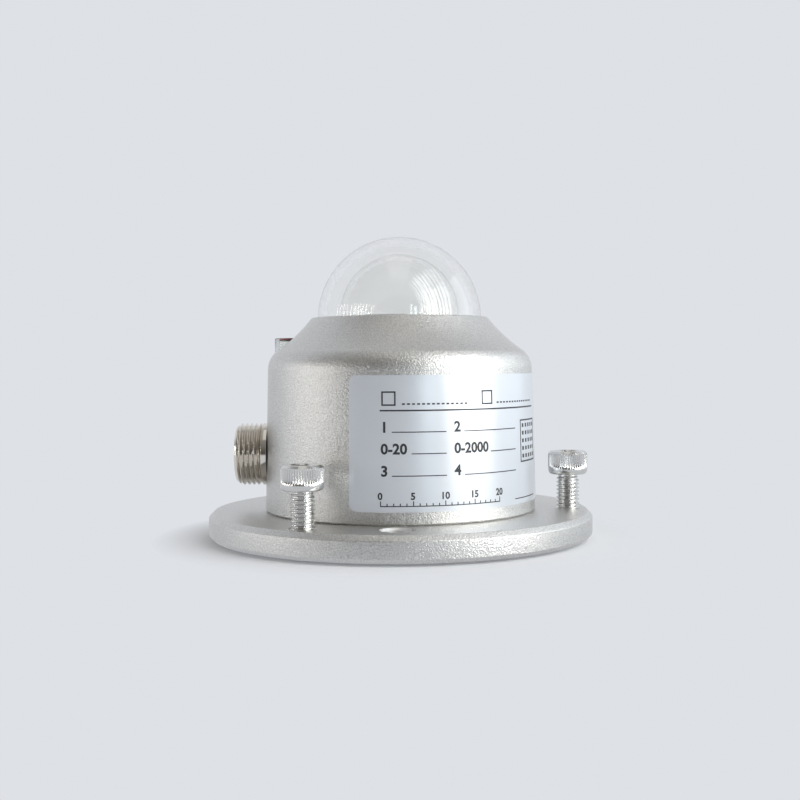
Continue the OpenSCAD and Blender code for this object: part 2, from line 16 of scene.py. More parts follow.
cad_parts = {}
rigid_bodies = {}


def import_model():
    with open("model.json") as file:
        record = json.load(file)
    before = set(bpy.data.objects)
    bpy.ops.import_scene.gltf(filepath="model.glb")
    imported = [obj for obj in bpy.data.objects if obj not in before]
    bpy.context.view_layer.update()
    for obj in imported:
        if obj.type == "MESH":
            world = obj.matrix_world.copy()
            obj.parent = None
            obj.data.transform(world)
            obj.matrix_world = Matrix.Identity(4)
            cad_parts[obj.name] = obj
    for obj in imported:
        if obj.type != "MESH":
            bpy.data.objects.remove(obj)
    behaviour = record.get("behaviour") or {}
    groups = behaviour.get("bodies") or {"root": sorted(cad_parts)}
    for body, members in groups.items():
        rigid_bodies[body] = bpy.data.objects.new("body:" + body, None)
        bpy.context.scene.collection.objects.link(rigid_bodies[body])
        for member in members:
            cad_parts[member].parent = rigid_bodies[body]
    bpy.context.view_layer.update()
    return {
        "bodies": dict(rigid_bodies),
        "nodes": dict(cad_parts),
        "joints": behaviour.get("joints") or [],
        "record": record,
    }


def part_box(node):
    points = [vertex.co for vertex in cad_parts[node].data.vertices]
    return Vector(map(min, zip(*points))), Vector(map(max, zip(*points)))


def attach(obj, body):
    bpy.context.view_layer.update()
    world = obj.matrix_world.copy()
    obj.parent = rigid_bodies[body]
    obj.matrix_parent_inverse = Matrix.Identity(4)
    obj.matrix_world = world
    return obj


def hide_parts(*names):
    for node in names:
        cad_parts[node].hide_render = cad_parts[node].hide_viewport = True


LOG = logging.getLogger("pyranometer")
MM = 0.001
MERGE_M = 2e-7
SLIVER_M = 2e-8
FILLET_SHARE = 0.49
FINE_AROUND = 320
CUT_SHARP = 25.0
SCREW_ANGLES = (-30.0, 90.0, 210.0)
BOSS_CIRCLE_R = 26.9
INSTRUMENT = "instrument"

Pair = tuple[float, float]
Corner = tuple[float, float, float]
Colour = tuple[float, float, float]


def linear(red: float, green: float, blue: float) -> Colour:
    """Turns an 8-bit screen colour into the linear values that a shader takes.

    Args:
        red: Red, from 0 to 255.
        green: Green, from 0 to 255.
        blue: Blue, from 0 to 255.

    Returns:
        The same colour in linear light.
    """
    shares = (channel / 255 for channel in (red, green, blue))
    return tuple(s / 12.92 if s <= 0.04045 else ((s + 0.055) / 1.055) ** 2.4 for s in shares)


def operator(operation: str, reflected: bool = False) -> Callable[["Wire", "Wire | float"], "Wire"]:
    """Makes a method that adds a Math node on a wire and another value.

    Args:
        operation: What the node does.
        reflected: Whether the other value comes first.

    Returns:
        The method, which returns the node's output.
    """
    def method(self: "Wire", other: "Wire | float") -> "Wire":
        """Adds the node and returns its output."""
        values = (other, self) if reflected else (self, other)
        return self.graph.node("ShaderNodeMath", {"operation": operation}, dict(enumerate(values)))
    return method


class Wire:
    """One output of a node, with arithmetic that adds Math nodes."""

    def __init__(self, graph: "Graph", socket: bpy.types.NodeSocket | None) -> None:
        """Keeps the graph and the socket."""
        self.graph = graph
        self.socket = socket

    __add__, __radd__ = operator("ADD"), operator("ADD", True)
    __sub__, __rsub__ = operator("SUBTRACT"), operator("SUBTRACT", True)
    __mul__, __rmul__ = operator("MULTIPLY"), operator("MULTIPLY", True)
    __truediv__, __rtruediv__ = operator("DIVIDE"), operator("DIVIDE", True)
    __pow__, __gt__ = operator("POWER"), operator("GREATER_THAN")
    lower, higher = operator("MINIMUM"), operator("MAXIMUM")

    def __abs__(self) -> "Wire":
        """Returns the size of self without its sign."""
        return self.graph.node("ShaderNodeMath", {"operation": "ABSOLUTE"}, {0: self})

    def held(self) -> "Wire":
        """Returns self, held between 0 and 1."""
        return self.lower(1.0).higher(0.0)


class Graph:
    """The node tree of a material or of the world."""

    def __init__(self, tree: bpy.types.NodeTree) -> None:
        """Empties the tree and keeps it."""
        self.tree = tree
        tree.nodes.clear()

    def node(self, kind: str, settings: dict[str, Any] | None = None,
             inputs: dict[str | int, Any] | None = None, output: str | int = 0) -> Wire:
        """Adds a node.

        Args:
            kind: Type of the node.
            settings: Its properties, set first; "stops" fills a colour ramp.
            inputs: Values or wires for its sockets, by name or index.
            output: Name or index of the output that is returned.

        Returns:
            That output, or an empty wire where the node has none.
        """
        made = self.tree.nodes.new(kind)
        for name, value in (settings or {}).items():
            if name == "stops":
                ramp = made.color_ramp.elements
                while len(ramp) < len(value):
                    ramp.new(1.0)
                for element, (place, colour) in zip(ramp, value):
                    element.position, element.color = place, (*colour, 1.0)
            else:
                setattr(made, name, value)
        for key, value in (inputs or {}).items():
            if isinstance(value, Wire):
                self.tree.links.new(value.socket, made.inputs[key])
            else:
                made.inputs[key].default_value = value
        return Wire(self, made.outputs[output] if len(made.outputs) else None)

    def blend(self, factor: Wire | float, first: Wire | Colour, second: Wire | Colour) -> Wire:
        """Mixes two colours: first at factor 0, second at factor 1."""
        ends = {6 + i: c if isinstance(c, Wire) else (*c, 1.0) for i, c in enumerate((first, second))}
        return self.node("ShaderNodeMix", {"data_type": "RGBA"}, {0: factor, **ends}, 2)

    def place_mm(self) -> Wire:
        """Returns the place on the object, in millimetres."""
        place = self.node("ShaderNodeTexCoord", output="Object")
        return self.node("ShaderNodeVectorMath", {"operation": "SCALE"}, {0: place, "Scale": 1 / MM})

    def axes(self, place: Wire) -> tuple[Wire, Wire, Wire]:
        """Splits a place into its x, y and z."""
        parts = self.node("ShaderNodeSeparateXYZ", None, {0: place}).socket.node.outputs
        return Wire(self, parts[0]), Wire(self, parts[1]), Wire(self, parts[2])

    def ray(self, kind: str) -> Wire:
        """Returns 1 for rays of a kind, such as Camera or Glossy, else 0."""
        return self.node("ShaderNodeLightPath", output=f"Is {kind} Ray")

    def noise(self, place: Wire, size_mm: float, detail: float = 2.0, roughness: float = 0.5) -> Wire:
        """Returns noise around 0.5 whose blotches are about size_mm across."""
        return self.node("ShaderNodeTexNoise", None, {
            "Vector": place, "Scale": 1 / size_mm, "Detail": detail, "Roughness": roughness})

    def bump(self, height_mm: Wire) -> Wire:
        """Returns the normal that a height in millimetres gives."""
        return self.node("ShaderNodeBump", None, {"Height": height_mm, "Strength": 1.0, "Distance": MM})


@dataclass(frozen=True)
class Finish:
    """A material: its colour, its gloss and the fine structure of its surface.

    Sizes are in millimetres. Mottle is slow unevenness of the colour, grain is the fine
    structure that the hand would feel, and smear is unevenness of the gloss.
    """

    name: str
    slot: str
    colour: Colour
    roughness: float
    metallic: float = 0.0
    mottle: float = 0.05
    mottle_mm: float = 9.0
    grain_mm: float = 0.5
    grain_depth: float = 0.0
    smear: float = 0.05
    coat: float = 0.0
    ior: float = 1.5

    def colours(self, graph: Graph, place: Wire) -> Wire:
        """Returns the base colour, mottled."""
        dark = tuple(c * (1 - self.mottle) for c in self.colour)
        light = tuple(min(1.0, c * (1 + self.mottle)) for c in self.colour)
        return graph.blend(graph.noise(place, self.mottle_mm, detail=3.0), dark, light)

    def gloss(self, graph: Graph, place: Wire) -> Wire | float:
        """Returns the roughness, smeared."""
        noise = graph.noise(place, self.mottle_mm / 2, detail=3.0)
        return (noise - 0.5) * (2 * self.smear) + self.roughness

    def relief(self, graph: Graph, place: Wire) -> Wire | None:
        """Returns the height of the grain in millimetres, or None where it is smooth."""
        if not self.grain_depth:
            return None
        return graph.noise(place, self.grain_mm, roughness=0.6) * self.grain_depth

    def fixed(self) -> dict[str, Any]:
        """Returns what is the same all over the surface."""
        return {"Metallic": self.metallic, "Coat Weight": self.coat, "IOR": self.ior}

    def shader(self, graph: Graph) -> Wire:
        """Builds the surface shader and returns it."""
        place = graph.place_mm()
        inputs = {**self.fixed(), "Base Color": self.colours(graph, place),
                  "Roughness": self.gloss(graph, place)}
        height = self.relief(graph, place)
        if height:
            inputs["Normal"] = graph.bump(height)
        return graph.node("ShaderNodeBsdfPrincipled", None, inputs)

    def material(self) -> bpy.types.Material:
        """Returns the material, made on first use."""
        made = bpy.data.materials.get(self.name)
        if not made:
            made = bpy.data.materials.new(self.name)
            made.use_nodes = True
            graph = Graph(made.node_tree)
            graph.node("ShaderNodeOutputMaterial", None, {"Surface": self.shader(graph)})
        return made


@dataclass(frozen=True)
class ClearFinish(Finish):
    """Glass, acrylic or fluid: light goes through it, less where it is milky."""

    milk: float = 0.0

    def gloss(self, graph: Graph, place: Wire) -> Wire | float:
        """Returns the roughness, the same all over."""
        return self.roughness

    def fixed(self) -> dict[str, Any]:
        """Returns what is the same all over the surface."""
        return {**super().fixed(), "Transmission Weight": 1.0 - self.milk}


@dataclass(frozen=True)
class TurnedFinish(Finish):
    """Metal with the fine rings that a lathe leaves round the object's axis."""

    ring_mm: float = 0.12
    ring_depth: float = 0.004

    def relief(self, graph: Graph, place: Wire) -> Wire | None:
        """Returns the height of the rings."""
        x, y, z = graph.axes(place)
        reach = (x * x + y * y) ** 0.5 + z
        rings = graph.node("ShaderNodeTexNoise", {"noise_dimensions": "1D"}, {
            "W": reach, "Scale": 1 / self.ring_mm, "Detail": 2.0})
        return rings * self.ring_depth


@dataclass(frozen=True)
class SplitFinish(Finish):
    """Two colours on one piece, told apart by where they are.

    Axis is 0, 1 or 2. The second colour starts where the place on that axis, or its size
    without its sign, passes the split.
    """

    second: Colour = (0.5, 0.5, 0.5)
    axis: int = 0
    split: float = 0.0
    both_sides: bool = False

    def colours(self, graph: Graph, place: Wire) -> Wire:
        """Returns the two colours."""
        along = graph.axes(place)[self.axis]
        if self.both_sides:
            along = abs(along)
        tone = graph.noise(place, self.mottle_mm) * (2 * self.mottle) + (1 - self.mottle)
        colour = graph.blend(along > self.split, self.colour, self.second)
        return graph.node("ShaderNodeVectorMath", {"operation": "SCALE"}, {0: colour, "Scale": tone})


@dataclass(frozen=True)
class WoundFinish(Finish):
    """Fine wire wound side by side, along X."""

    wire_mm: float = 0.25

    def relief(self, graph: Graph, place: Wire) -> Wire | None:
        """Returns the height of the wires."""
        x = graph.axes(place)[0]
        return graph.node("ShaderNodeMath", {"operation": "PINGPONG"}, {0: x, 1: self.wire_mm / 2})


class Look(Enum):
    """The finishes of the instrument."""

    BLASTED = Finish("blasted_aluminium", "anodised", (0.66, 0.655, 0.64), 0.36, 1.0,
                     mottle=0.48, mottle_mm=0.34, grain_mm=0.45, grain_depth=0.15)
    BARE = TurnedFinish("bare_aluminium", "turned_alloy", (0.86, 0.855, 0.84), 0.45, 1.0)
    TURNED = TurnedFinish("turned_aluminium", "turned_alloy", (0.66, 0.65, 0.62), 0.30, 1.0)
    STEEL = Finish("polished_steel", "steel", (0.72, 0.715, 0.70), 0.2, 1.0,
                   mottle=0.06, mottle_mm=2.0, smear=0.03)
    NICKEL = Finish("nickel_brass", "nickel", (0.80, 0.76, 0.70), 0.13, 1.0,
                    mottle=0.08, mottle_mm=2.0, smear=0.03)
    GLASS = ClearFinish("dome_glass", "glass", (0.995, 0.995, 0.985), 0.0, ior=1.38, mottle=0.004, milk=0.012)
    ACRYLIC = ClearFinish("clear_acrylic", "clear", (0.95, 0.97, 0.97), 0.02, ior=1.49, mottle=0.01)
    FLUID = ClearFinish("level_fluid", "fluid", (0.965, 0.965, 0.90), 0.0, ior=1.36, mottle=0.01)
    AIR = ClearFinish("level_bubble", "fluid", (1.0, 1.0, 1.0), 0.0, ior=0.74, mottle=0.0)
    RED = Finish("red_enamel", "red", (0.32, 0.02, 0.02), 0.25, coat=0.4)
    RUBBER = Finish("black_rubber", "rubber", (0.02, 0.02, 0.021), 0.55, grain_mm=0.3, grain_depth=0.006)
    SILICONE = Finish("pale_silicone", "silicone", (0.74, 0.75, 0.73), 0.5, grain_mm=0.4, grain_depth=0.006)
    WINDING = WoundFinish("copper_winding", "copper", (0.72, 0.36, 0.17), 0.3, 1.0)
    BLACK = Finish("black_coating", "black_coat", (0.012, 0.012, 0.012), 0.9, grain_mm=0.1, grain_depth=0.02)
    WHITE = Finish("white_paint", "white_paint", (0.82, 0.82, 0.80), 0.6, grain_mm=0.3, grain_depth=0.01)
    SENSOR_LEADS = SplitFinish("sensor_leads", "leads", (0.03, 0.08, 0.35), 0.35, second=(0.45, 0.02, 0.02))
    CABLE_LEADS = SplitFinish("cable_leads", "leads", (0.30, 0.12, 0.04), 0.35,
                              second=(0.75, 0.75, 0.72), axis=1)
    BOARD = Finish("board_lacquer", "board", (0.02, 0.13, 0.05), 0.3, mottle=0.3, mottle_mm=1.5, coat=0.3)
    BRASS = Finish("brass", "brass", (0.72, 0.52, 0.22), 0.22, 1.0)
    PARTS = SplitFinish("board_parts", "chip", (0.02, 0.02, 0.022), 0.4, second=(0.05, 0.09, 0.16),
                        axis=1, split=11.5, both_sides=True)
    TERMINAL = Finish("terminal_moulding", "terminal", (0.04, 0.27, 0.10), 0.45, grain_depth=0.004)
    INSULATOR = Finish("moulded_insulator", "insulator", (0.03, 0.02, 0.016), 0.4, grain_depth=0.004)
    FOIL = Finish("label_foil", "foil", (0.66, 0.69, 0.73), 0.34, 0.55,
                  mottle=0.02, mottle_mm=6.0, grain_mm=0.3, grain_depth=0.002, smear=0.03)
    INK = Finish("label_ink", "foil", (0.025, 0.026, 0.03), 0.45, grain_mm=0.2, grain_depth=0.002)

    @property
    def material(self) -> bpy.types.Material:
        """The material of this finish."""
        return self.value.material()


def rounded(corners: Sequence[Corner], closed: bool = False, steps: int = 5) -> list[Pair]:
    """Rounds the corners of an outline.

    Args:
        corners: Radius, height and fillet radius of each corner.
        closed: Whether the last corner joins the first.
        steps: Segments of a rounded corner.

    Returns:
        The outline as (radius, height).
    """
    outline: list[Pair] = []
    for i, (r, z, fillet) in enumerate(corners):
        here = Vector((r, z))
        if not fillet or (not closed and i in (0, len(corners) - 1)):
            outline.append((r, z))
            continue
        before = Vector(corners[i - 1][:2]) - here
        after = Vector(corners[(i + 1) % len(corners)][:2]) - here
        limit = FILLET_SHARE * min(before.length, after.length)
        before.normalize()
        after.normalize()
        half = before.angle(after) / 2
        back = min(fillet / math.tan(half), limit)
        radius = back * math.tan(half)
        centre = here + (before + after).normalized() * radius / math.sin(half)
        start, end = here + before * back - centre, here + after * back - centre
        turn = math.atan2(start.x * end.y - start.y * end.x, start.dot(end))
        for step in range(steps + 1):
            spoke = Matrix.Rotation(turn * step / steps, 2) @ start
            outline.append((centre.x + spoke.x, centre.y + spoke.y))
    return outline


def arc(centre: Pair, radius: float, start: float, end: float, steps: int) -> list[Corner]:
    """Returns corners without fillets along an arc, from angle start to angle end in degrees."""
    angles = [math.radians(start + (end - start) * i / steps) for i in range(steps + 1)]
    return [(centre[0] + radius * math.cos(a), centre[1] + radius * math.sin(a), 0.0) for a in angles]


@dataclass
class Solid:
    """A surface while it is made: points in millimetres, faces, and a finish for each face."""

    points: list[Vector]
    faces: list[tuple[int, ...]]
    looks: list[Look]

    def __add__(self, other: "Solid") -> "Solid":
        """Puts two surfaces side by side in one."""
        shift = len(self.points)
        moved = [tuple(i + shift for i in face) for face in other.faces]
        return Solid(self.points + other.points, self.faces + moved, self.looks + other.looks)

    def placed(self, matrix: Matrix) -> "Solid":
        """Returns the surface moved by a matrix."""
        return Solid([matrix @ p for p in self.points], self.faces, self.looks)

    def mesh(self, name: str) -> bpy.types.Mesh:
        """Builds the mesh, in metres, with its points merged and its faces turned outwards."""
        looks = list(dict.fromkeys(self.looks))
        made = bpy.data.meshes.new(name)
        made.from_pydata([p * MM for p in self.points], [], self.faces)
        for look in looks:
            made.materials.append(look.material)
        made.polygons.foreach_set("material_index", [looks.index(look) for look in self.looks])
        work = bmesh.new()
        work.from_mesh(made)
        bmesh.ops.remove_doubles(work, verts=work.verts, dist=MERGE_M)
        bmesh.ops.dissolve_degenerate(work, edges=work.edges, dist=SLIVER_M)
        bmesh.ops.recalc_face_normals(work, faces=work.faces)
        work.to_mesh(made)
        work.free()
        return made

    def piece(self, name: str, sharp: float = 32.0) -> bpy.types.Object:
        """Builds the object.

        Args:
            name: Name of the object.
            sharp: Angle in degrees above which an edge is drawn sharp.

        Returns:
            The object, linked to the scene.
        """
        made = bpy.data.objects.new(name, self.mesh(name))
        bpy.context.scene.collection.objects.link(made)
        shade(made, sharp)
        return made


def shade(piece: bpy.types.Object, sharp: float) -> None:
    """Smooths a piece, apart from edges sharper than an angle in degrees."""
    piece.data.shade_smooth()
    piece.data.set_sharp_from_angle(angle=math.radians(sharp))


def grid(rows: int, columns: int, closed: bool = False) -> list[tuple[int, ...]]:
    """Returns the faces between rings of points.

    Args:
        rows: Number of rings.
        columns: Points in each ring.
        closed: Whether the last ring joins the first.

    Returns:
        The faces, where points are counted ring by ring.
    """
    faces = []
    for row in range(rows if closed else rows - 1):
        low, high = row * columns, (row + 1) % rows * columns
        for i in range(columns):
            j = (i + 1) % columns
            faces.append((low + i, low + j, high + j, high + i))
    return faces


def turned(outline: Sequence[Pair], look: Look, around: int = 96, closed: bool = False) -> Solid:
    """Turns an outline round the Z axis.

    Args:
        outline: Radius and height of each point.
        look: Finish of the surface.
        around: Segments round the axis.
        closed: Whether the last point joins the first.

    Returns:
        The surface.
    """
    angles = [2 * math.pi * i / around for i in range(around)]
    points = [Vector((r * math.cos(a), r * math.sin(a), z)) for r, z in outline for a in angles]
    faces = grid(len(outline), around, closed)
    return Solid(points, faces, [look] * len(faces))


def loft(rings: Sequence[Sequence[Vector]], look: Look) -> Solid:
    """Joins rings of points one after the other, and closes both ends."""
    count, size = len(rings), len(rings[0])
    faces = grid(count, size) + [tuple(range(size)), tuple(range((count - 1) * size, count * size))]
    return Solid([point for ring in rings for point in ring], faces, [look] * len(faces))


def raised(points: Sequence[Pair], low: float, high: float, look: Look) -> Solid:
    """Raises a flat polygon between two heights."""
    return loft([[Vector((x, y, z)) for x, y in points] for z in (low, high)], look)


def hexagon_r(across_flats: float) -> float:
    """Returns the distance of a hexagon's corners from its middle."""
    return across_flats / 2 / math.cos(math.pi / 6)


def carve(piece: bpy.types.Object, tool: Solid, sharp: float, operation: str = "DIFFERENCE") -> None:
    """Cuts a tool's shape out of a piece, or joins it on, and keeps the tool's finish on the new faces."""
    cutter = tool.piece("cutter")
    step = piece.modifiers.new("carve", "BOOLEAN")
    step.object, step.operation, step.solver, step.material_mode = cutter, operation, "EXACT", "TRANSFER"
    seen = piece.evaluated_get(bpy.context.evaluated_depsgraph_get())
    result = bpy.data.meshes.new_from_object(seen)
    piece.modifiers.clear()
    piece.data = result
    bpy.data.objects.remove(cutter)
    shade(piece, sharp)


def slope(start: float, end: float, value: float) -> float:
    """Returns how far value is from start to end, from 0 to 1, eased at both ends."""
    share = min(1.0, max(0.0, (value - start) / (end - start)))
    return share * share * (3 - 2 * share)


@dataclass(frozen=True)
class Thread:
    """A right-hand screw thread round the Z axis, from height 0 up."""

    crest: float
    depth: float
    pitch: float
    length: float
    tip_bevel: float
    run_out: float
    flat: float = 0.12
    around: int = 72
    per_turn: int = 14
    start_drop: float = 0.1

    @property
    def root(self) -> float:
        """The radius of the thread's root."""
        return self.crest - self.depth

    @property
    def start(self) -> float:
        """The radius of the end ring at height 0."""
        return self.root - self.start_drop

    def radius(self, phase: float, height: float) -> float:
        """Returns the radius at a share of the pitch and a height."""
        tooth = min(1.0, max(0.0, (1 - abs(2 * phase - 1) - self.flat) / (1 - 2 * self.flat)))
        full = self.root + self.depth * tooth * slope(self.length, self.length - self.run_out, height)
        return min(full, self.start + height * (self.crest - self.start) / self.tip_bevel)

    def solid(self, look: Look) -> Solid:
        """Returns the thread as an open tube, whose end rings are round."""
        turns = math.ceil(self.length / self.pitch) + 1
        rows = range(-self.per_turn, turns * self.per_turn + 1)
        points = []
        for row in rows:
            for i in range(self.around):
                share = i / self.around
                z = min(self.length, max(0.0, self.pitch * (row / self.per_turn + share)))
                r = self.radius(row % self.per_turn / self.per_turn, z)
                angle = 2 * math.pi * share
                points.append(Vector((r * math.cos(angle), r * math.sin(angle), z)))
        faces = []
        last = len(rows) - 1
        for row in range(last):
            for i in range(self.around):
                if i + 1 < self.around:
                    low, high = row * self.around + i + 1, (row + 1) * self.around + i + 1
                else:
                    low = min(last, row + self.per_turn) * self.around
                    high = min(last, row + 1 + self.per_turn) * self.around
                faces.append((row * self.around + i, low, high, (row + 1) * self.around + i))
        return Solid(points, faces, [look] * len(faces))


@dataclass
class Assembly:
    """Common ground of the sub-assemblies: the frame, and how pieces are put on it."""

    frame: dict[str, Any]

    @staticmethod
    @cache
    def corners(node: str) -> tuple[Vector, Vector]:
        """Returns the lowest and highest corner of a CAD node, in millimetres."""
        low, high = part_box(node)
        return Vector(low) / MM, Vector(high) / MM

    def middle(self, node: str) -> Vector:
        """Returns the middle of a CAD node's box, in millimetres."""
        low, high = self.corners(node)
        return (low + high) / 2

    def keep(self, piece: bpy.types.Object, *nodes: str, body: str = INSTRUMENT) -> None:
        """Puts a piece on a body in place of CAD nodes, and reports it."""
        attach(piece, body)
        if nodes:
            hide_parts(*nodes)
        LOG.info("%s: %d faces on %s", piece.name, len(piece.data.polygons), body)

    def dress(self, look: Look, *nodes: str) -> None:
        """Gives CAD nodes, which keep their shape, a finish."""
        for node in nodes:
            for slot in self.frame["nodes"][node].material_slots:
                slot.material = look.material
            LOG.info("%s: dressed in %s", node, look.value.name)


def facing(angle: float, radius: float) -> Matrix:
    """Returns the move to a direction in degrees, from -Y towards +X, and a distance from the axis."""
    return Matrix.Rotation(math.radians(angle - 90), 4, "Z") @ Matrix.Translation((radius, 0, 0))


def merged(solids: Iterable[Solid]) -> Solid:
    """Returns surfaces as one."""
    return sum(solids, Solid([], [], []))


def copies(solid: Solid, angles: Iterable[float], radius: float) -> Solid:
    """Returns copies of a surface in some directions, at a distance from the axis."""
    return merged(solid.placed(facing(angle, radius)) for angle in angles)


@dataclass
class Flange(Assembly):
    """The round base plate."""

    top_chamfer: float = 1.3
    foot_chamfer: float = 1.0
    soft_edge: float = 0.35
    spigot_h: float = 3.0
    groove_depth: float = 1.45
    seal_d: float = 1.5
    spigot_r: float = 31.7
    spigot_edge: float = 0.3
    hole_r: float = 3.5
    hole_bevel: float = 0.6
    hole_circle_r: float = 41.0
    tapped_r: float = 3.05
    tapped_bevel: float = 0.35
    screw_circle_r: float = 44.0
    recess_r: float = 3.6
    recess_depth: float = 4.3
    recess_bevel: float = 0.3
    shank_r: float = 2.05
    overrun: float = 0.5

    def outline(self, radius: float, low: float, top: float) -> list[Pair]:
        """Returns the outline of the plate with its spigot."""
        spigot_top, soft = top + self.spigot_h, self.soft_edge
        seal_z, groove_r = top + self.spigot_h / 2, self.spigot_r - self.groove_depth
        return rounded([
            (0, low, 0), (radius - self.foot_chamfer, low, soft), (radius, low + self.foot_chamfer, soft),
            (radius, top - self.top_chamfer, soft), (radius - self.top_chamfer, top, soft),
            (self.spigot_r, top, 0), (self.spigot_r, seal_z - self.seal_d / 2, 0),
            (groove_r, seal_z - self.seal_d / 2, 0), (groove_r, seal_z + self.seal_d / 2, 0),
            (self.spigot_r, seal_z + self.seal_d / 2, 0), (self.spigot_r, spigot_top, self.spigot_edge),
            (0, spigot_top, 0)])

    def hole(self, radius: float, low: float, top: float, bevel: float) -> Solid:
        """Returns the tool for a through hole with a bevel at both ends."""
        mouth = radius + bevel + self.overrun
        return turned([
            (0, low - self.overrun), (mouth, low - self.overrun), (radius, low + bevel),
            (radius, top - bevel), (mouth, top + self.overrun), (0, top + self.overrun)], Look.BARE)

    def stepped(self, low: float, top: float) -> Solid:
        """Returns the tool for a casing screw's hole and the recess of its head."""
        mouth = self.recess_r + self.recess_bevel + self.overrun
        step = low + self.recess_depth
        return turned([
            (0, low - self.overrun), (mouth, low - self.overrun), (self.recess_r, low + self.recess_bevel),
            (self.recess_r, step), (self.shank_r, step), (self.shank_r, top + self.overrun),
            (0, top + self.overrun)], Look.BARE, 64)

    def build(self) -> None:
        """Builds the plate and puts it on the frame."""
        low, high = self.corners("flange")
        top = high.z - self.spigot_h
        plate = turned(self.outline(high.x, low.z, top), Look.BLASTED, FINE_AROUND).piece(
            "flange_plate", CUT_SHARP)
        bolt_hole = self.hole(self.hole_r, low.z, top, self.hole_bevel)
        tapped_hole = self.hole(self.tapped_r, low.z, top, self.tapped_bevel)
        carve(plate, merged([
            copies(bolt_hole, (0, 180), self.hole_circle_r),
            copies(tapped_hole, SCREW_ANGLES, self.screw_circle_r),
            copies(self.stepped(low.z, high.z), SCREW_ANGLES, BOSS_CIRCLE_R)]), CUT_SHARP)
        self.keep(plate, "flange")


@dataclass
class Casing(Assembly):
    """The turned body with its flared shoulder."""

    draft: float = 0.8
    cap_h: float = 13.5
    fillet: float = 6.3
    fillet_turn: float = 47.0
    crease_turn: float = 0.5
    crease_step: float = 0.08
    flare_r: float = 42.0
    top_r: float = 23.0
    wall: float = 3.5
    ceiling_drop: float = 1.1
    foot_chamfer: float = 0.5
    holder_depth: float = 6.0
    groove_depth: float = 3.6
    soft_edge: float = 0.7
    inner_edge: float = 0.15
    ceiling_edge: float = 0.8
    groove_out: float = 21.55
    groove_in: float = 18.85
    seat_r: float = 17.65
    bore_r: float = 11.95
    barrel_r: float = 7.05
    spot_r: float = 8.7
    barrel_l: float = 9.0
    level_r: float = 5.05
    pocket_h: float = 20.0
    boss_r: float = 4.5
    boss_root: Pair = (6.2, 2.5)
    boss_gap: float = 3.1

    def shape(self) -> tuple[float, float, float, float]:
        """Returns the foot radius, foot height, height of the casing and height of its shoulder."""
        low, high = self.corners("casing")
        height = high.z - low.z
        return high.x, low.z, height, height - self.cap_h

    def wall_r(self, height: float) -> float:
        """Returns the radius of the wall at a height above the flange."""
        foot_r, _, _, shoulder = self.shape()
        return foot_r - self.draft * height / shoulder

    def outline(self) -> list[Pair]:
        """Returns the outline: up the outside, and down through the dome's groove and the inside."""
        foot_r, _, height, shoulder = self.shape()
        shoulder_r = foot_r - self.draft
        centre = (shoulder_r - self.fillet, shoulder)
        crease_arc = (arc(centre, self.fillet, 0, self.fillet_turn - self.crease_turn, 14)
                      + arc(centre, self.fillet, self.fillet_turn, self.fillet_turn, 1)[:1])
        start, end = Vector(crease_arc[-1][:2]), Vector((self.top_r, height))
        way = end - start
        side = Vector((way.y, -way.x)).normalized()
        hub = (start + end) / 2 + side * math.sqrt(self.flare_r ** 2 - way.length_squared / 4)
        angles = [math.degrees(math.atan2(p.y - hub.y, p.x - hub.x)) % 360 for p in (start, end)]
        nudge = math.copysign(self.crease_step, angles[1] - angles[0])
        flare = arc(tuple(hub), self.flare_r, angles[0] + nudge, angles[1], 18)[:-1]
        cavity_r, ceiling = foot_r - self.wall, shoulder - self.ceiling_drop
        floor, seat, fine = height - self.groove_depth, height - self.holder_depth, self.inner_edge
        return rounded([
            (foot_r - self.foot_chamfer, 0, 0.1), (foot_r, self.foot_chamfer, 0.2), *crease_arc, *flare,
            (self.top_r, height, self.soft_edge), (self.groove_out, height, fine),
            (self.groove_out, floor, 0), (self.groove_in, floor, 0), (self.groove_in, height, fine),
            (self.seat_r, height, fine), (self.seat_r, seat, 0), (self.bore_r, seat, 0),
            (self.bore_r, ceiling, 0), (cavity_r, ceiling, self.ceiling_edge), (cavity_r, 0, 0)], closed=True)

    def connector_tools(self, rim_x: float, axis_z: float) -> Solid:
        """Returns the tool for the connector's hole and the flat that it sits on."""
        spot_x = math.sqrt(self.wall_r(axis_z - self.shape()[1] + self.spot_r) ** 2 - self.spot_r ** 2)
        reach = rim_x - spot_x
        end = reach + self.barrel_l
        tool = turned([(0, 0), (self.spot_r, 0), (self.spot_r, reach), (self.barrel_r, reach),
                       (self.barrel_r, end), (0, end)], Look.BARE)
        return tool.placed(Matrix.Translation((-rim_x, 0, axis_z)) @ Matrix.Rotation(math.pi / 2, 4, "Y"))

    def bosses(self, low: float, top: float) -> Solid:
        """Returns the three bosses for the casing screws."""
        root_x, root_y = self.boss_root
        outline = [corner[:2] for corner in arc((0, 0), self.boss_r, 45, 315, 24)]
        boss = raised([*outline, (root_x, -root_y), (root_x, root_y)], low, top, Look.TURNED)
        return copies(boss, SCREW_ANGLES, BOSS_CIRCLE_R)

    def build(self) -> None:
        """Builds the casing and puts it on the frame."""
        _, low, _, shoulder = self.shape()
        body = turned(self.outline(), Look.BLASTED, FINE_AROUND, closed=True).placed(
            Matrix.Translation((0, 0, low))).piece("casing_body", CUT_SHARP)
        carve(body, self.bosses(low + self.boss_gap, low + shoulder), CUT_SHARP, "UNION")
        shell, level = self.corners("connector_shell")[0], self.middle("level_body")
        pocket = turned([(0, 0), (self.level_r, 0), (self.level_r, self.pocket_h), (0, self.pocket_h)],
                        Look.BARE)
        pocket_place = Matrix.Translation((level.x, level.y, self.corners("level_body")[0].z))
        carve(body, self.connector_tools(-shell.x, self.middle("connector_shell").z)
              + pocket.placed(pocket_place), CUT_SHARP)
        self.keep(body, "casing")


